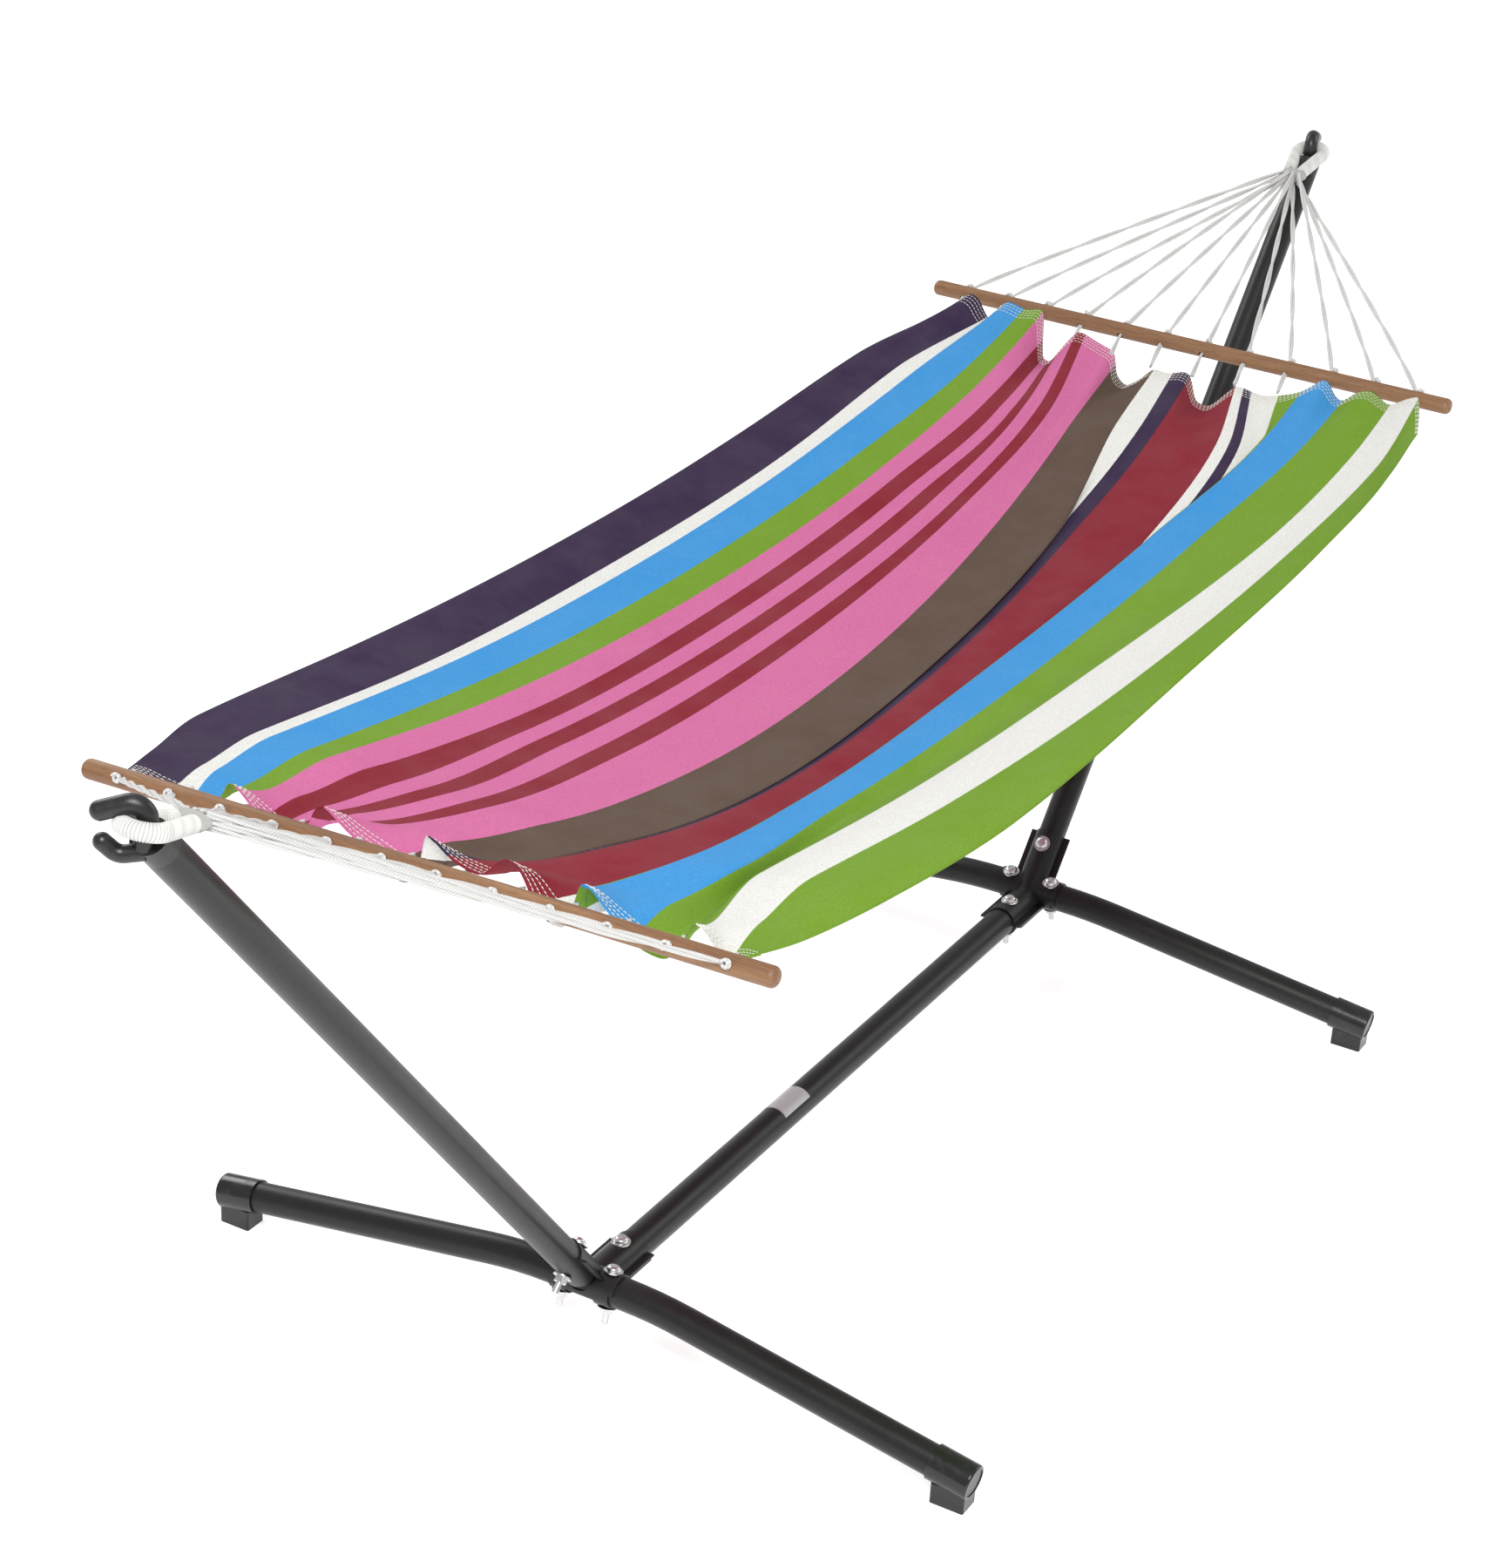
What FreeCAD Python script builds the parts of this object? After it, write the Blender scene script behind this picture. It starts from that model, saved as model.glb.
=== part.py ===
import FreeCAD, Part
import math
import os
from FreeCAD import Placement, Rotation, Vector

# A hammock on a knock-down steel stand, at rest with nobody in it.
# X runs along the stand, Y across it, Z is up; the origin is on the floor under its middle.
# Two arm tubes and a base beam meet a bent cross foot at each elbow, held by two pressed
# half shells and four bolts; moulded fork hooks in the arms carry the hammock.

doc = FreeCAD.newDocument("HammockOnStand")
sheet = doc.addObject("Spreadsheet::Sheet", "Sizes")

DIMENSIONS = {
    # stand tubes
    "arm_dia": 38, "beam_dia": 40, "foot_dia": 38, "tube_wall": 1.5,
    "beam_half": 567.8, "elbow_x": 577, "elbow_z": 84, "arm_angle": 49.6, "arm_start": 42, "arm_end": 1160,
    "foot_x": 587, "foot_z": 94, "foot_lean": 13.8, "foot_bend_y": 92.5, "foot_end_y": 512,
    "foot_end_z": 35, "foot_bend_radius": 600,
    # elbow shells and fasteners
    "shell_wall": 2.5, "arm_shell_length": 98, "beam_shell_length": 88, "lower_shell_length": 82,
    "foot_shell_half": 46, "foot_saddle_half": 40, "flange_width": 8, "arm_bolt_at": 77,
    "beam_bolt_x": 515, "foot_bolt_y": 31, "bolt_dia": 8, "bolt_hole_dia": 8.6, "head_dia": 17,
    "head_height": 6, "washer_dia": 23, "washer_height": 1.5, "nut_across": 14.5,
    "nut_height": 6.5, "thread_stub": 13,
    # end caps of the feet
    "cap_dia": 43, "cap_length": 52, "cap_floor": 6, "recess_dia": 34, "recess_depth": 2.5,
    "pad_width": 31, "pad_length": 42, "pad_height": 26,
    # fork hooks
    "hook_base_length": 24, "plug_length": 45, "plug_play": 0.1, "prong_dia": 19,
    "lip_dia": 17, "left_hook_turn": 60, "right_hook_turn": 13, "seat_x": 1350, "seat_z": 997,
    # rope loops and gathers
    "rope_dia": 18, "loop_radius": 19.5, "rope_clearance": 0.4, "gather_reach": 65,
    "gather_drop_angle": 17.5, "gather_length": 16, "gather_width": 38, "gather_height": 18,
    "swing_gap": 0.6,
    # spreader bars
    "bar_length": 800, "bar_dia": 22, "bar_edge": 7, "bar_x": 954, "left_bar_z": 790,
    "right_bar_z": 805, "left_bar_y": -8, "right_bar_y": 8, "left_bar_skew": 2.3,
    "right_bar_skew": 1.3, "hole_count": 12, "hole_span": 700, "hole_dia": 8.5, "hole_rise": 28,
    # suspension cords
    "cord_dia": 5, "cord_rows": 3, "cord_step": 7.6, "cord_layer": 6.4, "cord_clear_outer": 11,
    "cord_clear_inner": 6, "cord_bend_outer": 16, "cord_bend_inner": 7,
    # fabric
    "fabric_thickness": 4, "fabric_half_end": 358, "fabric_half_middle": 420,
    "fabric_shift": 21, "left_edge_sag": 90, "right_edge_sag": 45, "trough_depth": 70,
    "hem_gap_side": 12, "hem_gap_middle": 46, "hem_drop_side": 0, "hem_drop_middle": 20,
}
for row, (name, value) in enumerate(DIMENSIONS.items(), start=1):
    sheet.set(f"A{row}", name)
    sheet.set(f"B{row}", str(value))
    sheet.setAlias(f"B{row}", name)
doc.recompute()


def size(name):
    """A driving dimension, read back from the spreadsheet."""
    return float(sheet.get(name))


def bind(piece, **formulas):
    """Bind properties of a document object to cells of the spreadsheet."""
    for prop, formula in formulas.items():
        piece.setExpression(prop, formula)
    return piece


def frame_at(origin, along, across=Vector(0, 1, 0)):
    """A placement with its Z along a direction and its X as near to across as it can be."""
    z = Vector(along).normalize()
    x = (across - z * across.dot(z)).normalize()
    y = z.cross(x)
    turn = FreeCAD.Matrix(x.x, y.x, z.x, origin.x, x.y, y.y, z.y, origin.y,
                          x.z, y.z, z.z, origin.z, 0, 0, 0, 1)
    return Placement(turn)


def solid_of(shape):
    """The solid, or the compound of separate solids, left after tidying a boolean's result."""
    tidy = shape.removeSplitter()
    return tidy.Solids[0] if len(tidy.Solids) == 1 else Part.makeCompound(tidy.Solids)


def cylinder(radius, start, along, length):
    return Part.makeCylinder(radius, length, start, along)


def publish(name, shape):
    """A node whose shape is worked out here, from the spreadsheet's sizes."""
    node = doc.addObject("Part::Feature", name)
    node.Label = name
    node.Shape = shape
    node.Placement = shape.Placement
    return node


def plain_cylinder(name, radius, height, placement):
    """A Part primitive bound to the sheet, used as one operand of a boolean."""
    piece = doc.addObject("Part::Cylinder", name)
    bind(piece, Radius=radius, Height=height)
    piece.Placement = placement
    return piece


def holes(name, cuts):
    """One operand that holds every drilled hole of a piece."""
    drill = doc.addObject("Part::Feature", name)
    drill.Shape = Part.makeCompound(cuts)
    return drill


def rounded_path(points, radii):
    """Straight runs through the points, joined at each inner point by a tangent arc."""
    edges = []
    start = points[0]
    for before, corner, after, radius in zip(points, points[1:], points[2:], radii):
        back = (before - corner).normalize()
        ahead = (after - corner).normalize()
        half = back.getAngle(ahead) / 2
        reach = radius / math.tan(half)
        middle = corner + (back + ahead).normalize() * (radius / math.sin(half) - radius)
        first, last = corner + back * reach, corner + ahead * reach
        edges += [Part.LineSegment(start, first).toShape(), Part.Arc(first, middle, last).toShape()]
        start = last
    edges.append(Part.LineSegment(start, points[-1]).toShape())
    return Part.Wire(edges)


def pipe(path, radius):
    """A solid round bar along a wire."""
    edge = path.OrderedEdges[0]
    start = edge.valueAt(edge.FirstParameter)
    along = edge.tangentAt(edge.FirstParameter)
    ring = Part.Wire(Part.makeCircle(radius, start, along))
    return Part.Wire(path.OrderedEdges).makePipeShell([ring], True, True)


SIDES = {"left": -1, "right": 1}
arm_angle = math.radians(size("arm_angle"))
foot_lean = math.radians(size("foot_lean"))


def elbow(side):
    return Vector(side * size("elbow_x"), 0, size("elbow_z"))


def arm_direction(side):
    return Vector(side * math.cos(arm_angle), 0, math.sin(arm_angle))


def arm_inner(side):
    """The direction square to the arm that points up and in, at the elbow's hollow side."""
    return Vector(-side * math.sin(arm_angle), 0, math.cos(arm_angle))


def foot_centre(side):
    return Vector(side * size("foot_x"), 0, size("foot_z"))


def foot_down(side):
    """The direction in which a foot's ends drop: its bend lies in a plane that leans outwards."""
    return Vector(side * math.sin(foot_lean), 0, -math.cos(foot_lean))


def foot_end(side, hand):
    """The centre of a foot's outer cap face."""
    drop = (size("foot_z") - size("foot_end_z")) / math.cos(foot_lean)
    return foot_centre(side) + foot_down(side) * drop + Vector(0, hand * size("foot_end_y"), 0)


def foot_bend(side, hand):
    return foot_centre(side) + Vector(0, hand * size("foot_bend_y"), 0)


# Bolts: one through each arm, one down through each end of the beam, two through each foot.
# Each row is a point on the bolt's axis, the axis towards the head, and how far from the point
# the head's washer and the nut's washer sit.


def arm_bolt(side):
    reach = size("arm_dia") / 2
    point = elbow(side) + arm_direction(side) * size("arm_bolt_at")
    return point, arm_inner(side), reach + size("shell_wall"), reach


def beam_bolt(side):
    reach = size("beam_dia") / 2 + size("shell_wall")
    point = Vector(side * size("beam_bolt_x"), 0, size("elbow_z"))
    return point, Vector(0, 0, 1), reach, reach


def foot_bolt(side, hand):
    reach = size("foot_dia") / 2 + size("shell_wall")
    point = foot_centre(side) + Vector(0, hand * size("foot_bolt_y"), 0)
    return point, foot_down(side) * -1, reach, reach


def bolts_of(side):
    return [arm_bolt(side), beam_bolt(side), foot_bolt(side, -1), foot_bolt(side, 1)]


def drill(bolt):
    point, axis, _, _ = bolt
    half = 60
    return cylinder(size("bolt_hole_dia") / 2, point - axis * half, axis, 2 * half)


# --- arm tubes and base beam: plain steel tubes drilled for their bolts -----------------------

beam = doc.addObject("Part::Cut", "beam_blank")
lying = frame_at(Vector(-size("beam_half"), 0, size("elbow_z")), Vector(1, 0, 0))
beam.Base = plain_cylinder("beam_outside", "Sizes.beam_dia / 2", "2 * Sizes.beam_half", lying)
beam.Tool = plain_cylinder("beam_inside", "Sizes.beam_dia / 2 - Sizes.tube_wall",
                           "2 * Sizes.beam_half", lying)
base_beam = doc.addObject("Part::Cut", "base_beam_tube")
base_beam.Label = "base_beam_tube"
base_beam.Base = beam
base_beam.Tool = holes("beam_bolt_holes", [drill(beam_bolt(side)) for side in SIDES.values()])

for name, side in SIDES.items():
    standing = frame_at(elbow(side) + arm_direction(side) * size("arm_start"), arm_direction(side))
    blank = doc.addObject("Part::Cut", f"{name}_arm_blank")
    blank.Base = plain_cylinder(f"{name}_arm_outside", "Sizes.arm_dia / 2",
                                "Sizes.arm_end - Sizes.arm_start", standing)
    blank.Tool = plain_cylinder(f"{name}_arm_inside", "Sizes.arm_dia / 2 - Sizes.tube_wall",
                                "Sizes.arm_end - Sizes.arm_start", standing)
    arm = doc.addObject("Part::Cut", f"{name}_arm_tube")
    arm.Label = f"{name}_arm_tube"
    arm.Base = blank
    arm.Tool = holes(f"{name}_arm_bolt_hole", [drill(arm_bolt(side))])


# --- cross feet: one bent tube at each end, a plastic cap with a floor pad on each tip ---------

CAP_SHOULDER = 4   # the tube stops this far short of the cap's outer face
CAP_SOCKET_GAP = 0.1


def foot_path(side):
    """The centre line of a foot tube, from its front tip to its rear tip."""
    tips = []
    for hand in (-1, 1):
        end, bend = foot_end(side, hand), foot_bend(side, hand)
        inwards = (bend - end).normalize()
        tips.append(end + inwards * (size("cap_floor") + CAP_SHOULDER))
    points = [tips[0], foot_bend(side, -1), foot_bend(side, 1), tips[1]]
    return rounded_path(points, [size("foot_bend_radius")] * 2)


def foot_tube(name, side):
    path = foot_path(side)
    outside = pipe(path, size("foot_dia") / 2)
    inside = pipe(path, size("foot_dia") / 2 - size("tube_wall"))
    cuts = [drill(foot_bolt(side, hand)) for hand in (-1, 1)]
    publish(f"{name}_foot_tube", solid_of(outside.cut([inside] + cuts)))


def foot_cap(side, hand):
    """A moulded cap: a sleeve on the tube's tip, a recessed end, and a block down to the floor."""
    end, bend = foot_end(side, hand), foot_bend(side, hand)
    inwards = (bend - end).normalize()
    sleeve = cylinder(size("cap_dia") / 2, end, inwards, size("cap_length"))
    sleeve = sleeve.makeFillet(3, [e for e in sleeve.Edges if e.distToShape(Part.Vertex(end))[0]
                                   < size("cap_dia") / 2 + 0.5 and len(e.Vertexes) == 1])
    pad = Part.makeBox(size("pad_width"), size("pad_length"), size("pad_height"))
    near_y = min(hand * (size("foot_end_y") - 4), hand * (size("foot_end_y") - 4 - size("pad_length")))
    pad.translate(Vector(end.x - size("pad_width") / 2, near_y, 0))
    pad = pad.makeFillet(2.5, [e for e in pad.Edges if abs(e.tangentAt(0).z) > 0.9])
    bore = cylinder(size("foot_dia") / 2 + CAP_SOCKET_GAP, end + inwards * (size("cap_floor") + CAP_SHOULDER),
                    inwards, size("cap_length"))
    recess = cylinder(size("recess_dia") / 2, end, inwards, size("recess_depth"))
    return solid_of(sleeve.fuse(pad).cut([bore, recess]))


def cap_disc(side, hand):
    end, bend = foot_end(side, hand), foot_bend(side, hand)
    inwards = (bend - end).normalize()
    skin = 1.2
    return cylinder(size("recess_dia") / 2 - CAP_SOCKET_GAP, end + inwards * (size("recess_depth") - skin),
                    inwards, skin)


for name, side in SIDES.items():
    foot_tube(name, side)
    for hand, place in ((-1, "front"), (1, "rear")):
        publish(f"{name}_{place}_foot_cap", foot_cap(side, hand))
publish("foot_cap_discs", Part.makeCompound([cap_disc(side, hand) for side in SIDES.values()
                                             for hand in (-1, 1)]))


# --- elbow shells: pressed steel that hugs the tubes, one above and one below ------------------


def half_tube(start, along, length, radius, facing):
    """Half of a round bar, on the side that facing points to, square to its axis."""
    half = Part.makeCylinder(radius, length, Vector(), Vector(0, 0, 1), 180)
    z = Vector(along).normalize()
    half.Placement = frame_at(start, along, facing.cross(z))
    return half


def flange(start, along, length, facing, tube_radius):
    """Flat strips along both edges of a half shell, lying on the plane through the tube's axis."""
    reach = tube_radius + size("shell_wall") + size("flange_width")
    strip = Part.makeBox(2 * reach, size("shell_wall"), length, Vector(-reach, 0, 0))
    z = Vector(along).normalize()
    strip.Placement = frame_at(start, along, facing.cross(z))
    return strip


def tube_voids(side):
    """The room that the three tubes take, run on past the shells."""
    spare = 30
    beam_start = Vector(side * (size("elbow_x") + spare), 0, size("elbow_z"))
    foot_start = foot_centre(side) - Vector(0, 120, 0)
    return {
        "arm": cylinder(size("arm_dia") / 2, elbow(side), arm_direction(side), 260),
        "beam": cylinder(size("beam_dia") / 2, beam_start, Vector(-side, 0, 0), 260),
        "foot": cylinder(size("foot_dia") / 2, foot_start, Vector(0, 1, 0), 240),
    }


def upper_shell(side):
    """The bracket in the elbow's hollow: over the arm, the beam and the foot tube."""
    wall = size("shell_wall")
    arm_r, beam_r, foot_r = (size(f"{tube}_dia") / 2 for tube in ("arm", "beam", "foot"))
    start, inwards, up = elbow(side), Vector(-side, 0, 0), Vector(0, 0, 1)
    foot_start = foot_centre(side) - Vector(0, size("foot_shell_half"), 0)
    over = foot_down(side) * -1
    parts = [
        half_tube(start, arm_direction(side), size("arm_shell_length"), arm_r + wall, arm_inner(side)),
        half_tube(start, inwards, size("beam_shell_length"), beam_r + wall, up),
        half_tube(foot_start, Vector(0, 1, 0), 2 * size("foot_shell_half"), foot_r + wall, over),
        flange(start + arm_direction(side) * 30, arm_direction(side),
               size("arm_shell_length") - 30, arm_inner(side), arm_r),
        flange(start, inwards, size("beam_shell_length"), up, beam_r),
    ]
    body = parts[0].fuse(parts[1:])
    return solid_of(body.cut(list(tube_voids(side).values()) + [drill(b) for b in bolts_of(side)]))


def lower_shell(side):
    """The saddle under the elbow: under the beam and round the outside of the foot tube."""
    wall = size("shell_wall")
    beam_r, foot_r = size("beam_dia") / 2, size("foot_dia") / 2
    start, inwards, down = elbow(side), Vector(-side, 0, 0), Vector(0, 0, -1)
    foot_start = foot_centre(side) - Vector(0, size("foot_saddle_half"), 0)
    parts = [
        half_tube(start, inwards, size("lower_shell_length"), beam_r + wall, down),
        half_tube(foot_start, Vector(0, 1, 0), 2 * size("foot_saddle_half"), foot_r + wall,
                  foot_down(side)),
        flange(start, inwards, size("lower_shell_length"), down, beam_r),
    ]
    body = parts[0].fuse(parts[1:])
    cuts = list(tube_voids(side).values()) + [drill(b) for b in bolts_of(side)]
    return solid_of(body.cut(cuts + [upper_shell(side)]))


for name, side in SIDES.items():
    publish(f"{name}_elbow_bracket", upper_shell(side))
    publish(f"{name}_foot_saddle", lower_shell(side))


# --- fasteners --------------------------------------------------------------------------------


def bolt_solid(bolt):
    """A dome-headed bolt, from its head down to the thread that stands out of its nut."""
    point, axis, to_head, to_nut = bolt
    washer = size("washer_height")
    seat = point + axis * (to_head + washer)
    head = cylinder(size("head_dia") / 2, seat, axis, size("head_height"))
    rim = [e for e in head.Edges if len(e.Vertexes) == 1 and (e.CenterOfMass - seat).dot(axis) > 1]
    head = head.makeFillet(size("head_height") - 1.5, rim)
    end = point - axis * (to_nut + washer + size("nut_height") + size("thread_stub"))
    shank = cylinder(size("bolt_dia") / 2, end, axis, (seat - end).Length)
    return solid_of(head.fuse(shank))


def nut_solid(bolt):
    point, axis, _, to_nut = bolt
    seat = point - axis * (to_nut + size("washer_height"))
    corners = [Vector(math.cos(a), math.sin(a), 0) * (size("nut_across") / math.sqrt(3))
               for a in (math.radians(60 * k) for k in range(7))]
    hexagon = Part.Face(Part.makePolygon(corners)).extrude(Vector(0, 0, size("nut_height")))
    hexagon.Placement = frame_at(seat, axis * -1)
    return hexagon.cut(cylinder(size("bolt_dia") / 2, seat + axis, axis * -1, size("nut_height") + 2))


def washers_of(bolt):
    point, axis, to_head, to_nut = bolt
    height, hole = size("washer_height"), size("bolt_hole_dia") / 2
    flat = []
    for start in (point + axis * to_head, point - axis * (to_nut + height)):
        disc = cylinder(size("washer_dia") / 2, start, axis, height)
        flat.append(disc.cut(cylinder(hole, start - axis, axis, height + 2)))
    return flat


every_bolt = [bolt for side in SIDES.values() for bolt in bolts_of(side)]
publish("arm_bolts", Part.makeCompound([bolt_solid(arm_bolt(s)) for s in SIDES.values()]))
publish("beam_bolts", Part.makeCompound([bolt_solid(beam_bolt(s)) for s in SIDES.values()]))
publish("foot_bolts", Part.makeCompound([bolt_solid(foot_bolt(s, h)) for s in SIDES.values()
                                         for h in (-1, 1)]))
publish("hex_nuts", Part.makeCompound([nut_solid(b) for b in every_bolt]))
publish("flat_washers", Part.makeCompound([w for b in every_bolt for w in washers_of(b)]))


# --- rope loops, hung on the hooks --------------------------------------------------------------


def seat(side):
    """The middle of the bight of rope round a hook's neck."""
    return Vector(side * size("seat_x"), 0, size("seat_z"))


def pull(side):
    """The direction from a hook's neck to the gather where its cords meet."""
    drop = math.radians(size("gather_drop_angle"))
    return Vector(-side * math.cos(drop), 0, -math.sin(drop))


def gather(side):
    return seat(side) + pull(side) * size("gather_reach")


def rope_loop(side, radius):
    """A bight of rope round the neck whose two parts run back together to the gather."""
    bend, half_gap = size("loop_radius"), size("rope_dia") / 2 + 0.3
    reach = size("gather_reach")
    far = math.hypot(reach, half_gap)
    lean = math.acos(bend / far) + math.atan2(half_gap, reach)
    across = Vector(0, 1, 0)
    near_side = seat(side) + pull(side) * (bend * math.cos(lean)) + across * (bend * math.sin(lean))
    far_side = seat(side) + pull(side) * (bend * math.cos(lean)) - across * (bend * math.sin(lean))
    tip = seat(side) - pull(side) * bend
    ends = [gather(side) + across * half_gap, gather(side) - across * half_gap]
    path = Part.Wire([Part.LineSegment(ends[0], near_side).toShape(),
                      Part.Arc(near_side, tip, far_side).toShape(),
                      Part.LineSegment(far_side, ends[1]).toShape()])
    return pipe(path, radius)


def beyond_gather(side):
    """Everything on the hammock's side of the gap at the gather, where the swing turns."""
    cut_x = gather(side).x + side * (size("gather_length") / 2 + size("swing_gap"))
    room = Part.makeBox(200, 200, 200)
    room.translate(Vector(cut_x - 200 if side > 0 else cut_x, -100, gather(side).z - 100))
    return room


def cord_gather(side):
    """The flat oval binding that holds the twelve cords together, square to the swing's axis."""
    start = gather(side) - Vector(size("gather_length") / 2, 0, 0)
    oval = Part.Ellipse(Vector(), size("gather_width") / 2, size("gather_height") / 2).toShape()
    bundle = Part.Face(Part.Wire(oval)).extrude(Vector(0, 0, size("gather_length")))
    bundle.Placement = frame_at(start, Vector(1, 0, 0))
    return bundle


for name, side in SIDES.items():
    rope = rope_loop(side, size("rope_dia") / 2).cut(beyond_gather(side))
    publish(f"{name}_hanging_loop", solid_of(rope))
    publish(f"{name}_cord_gather", cord_gather(side))


# --- fork hooks: a plug in the arm, a neck that the rope sits round, and two fingers ------------


def finger(start, corner, tip, bend, radius):
    """A round finger that curves once and ends in a ball."""
    bar = pipe(rounded_path([start, corner, tip], [bend]), radius)
    return bar.fuse(Part.makeSphere(radius, tip))


def hook(side, turn):
    """The moulding in the top of an arm; turn is how far its mouth faces away from the end."""
    top = elbow(side) + arm_direction(side) * size("arm_end")
    base = cylinder(size("arm_dia") / 2, top, arm_direction(side), size("hook_base_length"))
    plug = cylinder(size("arm_dia") / 2 - size("tube_wall") - size("plug_play"),
                    top - arm_direction(side) * size("plug_length"), arm_direction(side),
                    size("plug_length") + 1)
    angle = math.radians(turn)
    outwards = Vector(side * math.cos(angle), math.sin(angle), 0)

    def at(out, up):
        return seat(side) + outwards * out + Vector(0, 0, up)

    prong = size("prong_dia") / 2
    upper = finger(at(1, -21), at(-6, 28), at(38, 14), 14, prong)
    lower = finger(at(0, -24), at(24, -28), at(37, -16), 14, size("lip_dia") / 2)
    body = base.fuse([plug, upper, lower])
    inside_tube = cylinder(size("arm_dia"), top - arm_direction(side) * 100, arm_direction(side), 100)
    body = body.cut(inside_tube).fuse(plug)
    groove = rope_loop(side, size("rope_dia") / 2 + size("rope_clearance"))
    return solid_of(body.cut(groove))


for name, side in SIDES.items():
    publish(f"{name}_hook", hook(side, size(f"{name}_hook_turn")))


# --- spreader bars: round hardwood, drilled through for the cords --------------------------------

hole_rise = math.radians(size("hole_rise"))


def bar_centre(name):
    return Vector(SIDES[name] * size("bar_x"), size(f"{name}_bar_y"), size(f"{name}_bar_z"))


def bar_turn(name):
    """A bar hangs a little askew, turned about the upright; its rear end leans outwards."""
    return Rotation(Vector(0, 0, 1), -SIDES[name] * size(f"{name}_bar_skew"))


def bar_point(name, along):
    return bar_centre(name) + bar_turn(name).multVec(Vector(0, along, 0))


def hole_axis(name):
    """The way that the holes point: up and out, in line with the cords."""
    flat = Vector(SIDES[name] * math.cos(hole_rise), 0, math.sin(hole_rise))
    return bar_turn(name).multVec(flat)


HOLES = int(size("hole_count"))


def hole_offset(k):
    return (k / (HOLES - 1) - 0.5) * size("hole_span")


for name, side in SIDES.items():
    blank = plain_cylinder(f"{name}_bar_blank", "Sizes.bar_dia / 2", "Sizes.bar_length",
                           frame_at(bar_point(name, -size("bar_length") / 2),
                                    bar_turn(name).multVec(Vector(0, 1, 0)), Vector(1, 0, 0)))
    doc.recompute()
    soft = doc.addObject("Part::Fillet", f"{name}_bar_rounded")
    soft.Base = blank
    rims = [i for i, e in enumerate(blank.Shape.Edges, start=1) if len(e.Vertexes) == 1]
    soft.Edges = [(i, size("bar_edge"), size("bar_edge")) for i in rims]
    reach = size("bar_dia")
    drilled = [cylinder(size("hole_dia") / 2, bar_point(name, hole_offset(k)) - hole_axis(name) * reach,
                        hole_axis(name), 2 * reach) for k in range(HOLES)]
    bar = doc.addObject("Part::Cut", f"{name}_spreader_bar")
    bar.Label = f"{name}_spreader_bar"
    bar.Base = soft
    bar.Tool = holes(f"{name}_bar_holes", drilled)


# --- fabric: one striped canvas sheet, sagging between the bars ----------------------------------


def fabric_point(u, v):
    """A point on the sheet's top: u runs from the left bar to the right, v from front to rear."""
    middle = 1 - v * v
    gap = size("hem_gap_side") + (size("hem_gap_middle") - size("hem_gap_side")) * middle
    drop = size("hem_drop_side") + (size("hem_drop_middle") - size("hem_drop_side")) * middle
    spread = 1 - abs(u) ** 2.2
    half = size("fabric_half_end") + (size("fabric_half_middle") - size("fabric_half_end")) * spread
    y = v * half + size("fabric_shift") * (1 - u * u)
    blend = (1 + u) / 2
    skew = {n: math.tan(math.radians(size(f"{n}_bar_skew"))) * y for n in SIDES}
    ends = {n: SIDES[n] * (size("bar_x") + skew[n] - size("bar_dia") / 2 - gap) for n in SIDES}
    x = ends["left"] * (1 - blend) + ends["right"] * blend
    z = size("left_bar_z") * (1 - blend) + size("right_bar_z") * blend - drop
    sag = size("right_edge_sag") + (size("left_edge_sag") - size("right_edge_sag")) * (1 + v) / 2
    trough = size("trough_depth") * (1 - v * v)
    return Vector(x, y, z - (sag + trough) * (1 - u * u))


ROWS, COLUMNS = 15, 9


def fabric_sheet(drop):
    grid = [[fabric_point(-1 + 2 * i / (ROWS - 1), -1 + 2 * j / (COLUMNS - 1)) - Vector(0, 0, drop)
             for j in range(COLUMNS)] for i in range(ROWS)]
    surface = Part.BSplineSurface()
    surface.interpolate(grid)
    return surface.toShape()


def fabric_solid():
    """The sheet with its thickness: two like surfaces closed by ruled strips round the rim."""
    top, bottom = fabric_sheet(0), fabric_sheet(size("fabric_thickness"))
    rim = [Part.makeRuledSurface(a, b) for a, b in zip(top.Edges, bottom.Edges)]
    shell = Part.makeShell([top, bottom] + rim)
    solid = Part.makeSolid(shell)
    if solid.Volume < 0:
        solid.reverse()
    return solid


fabric = fabric_solid()
publish("hammock_fabric", fabric)


# --- suspension cords: twelve from each gather, through the bar to the hem -----------------------


CORD_START = 4   # how far inside the gather a cord's route starts, before it is cut flush


def cord_points(name, k):
    """The route of one cord: gather, outer mouth of its hole, inner mouth, hem of the fabric."""
    side = SIDES[name]
    rows = int(size("cord_rows"))
    column = k // rows - (HOLES / rows - 1) / 2
    layer = k % rows - (rows - 1) / 2
    start = gather(side) + Vector(-side * (size("gather_length") / 2 - CORD_START),
                                  column * size("cord_step"), layer * size("cord_layer"))
    middle = bar_point(name, hole_offset(k))
    outer = middle + hole_axis(name) * (size("bar_dia") / 2 + size("cord_clear_outer"))
    inner = middle - hole_axis(name) * (size("bar_dia") / 2 + size("cord_clear_inner"))
    v = (middle.y - bar_centre(name).y) / size("fabric_half_end")
    hem = fabric_point(side, v) - Vector(0, 0, size("fabric_thickness") / 2)
    return [start, outer, inner, hem]


def cord_length(name, k):
    bends = [size("cord_bend_outer"), size("cord_bend_inner")]
    return rounded_path(cord_points(name, k), bends).Length


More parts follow.
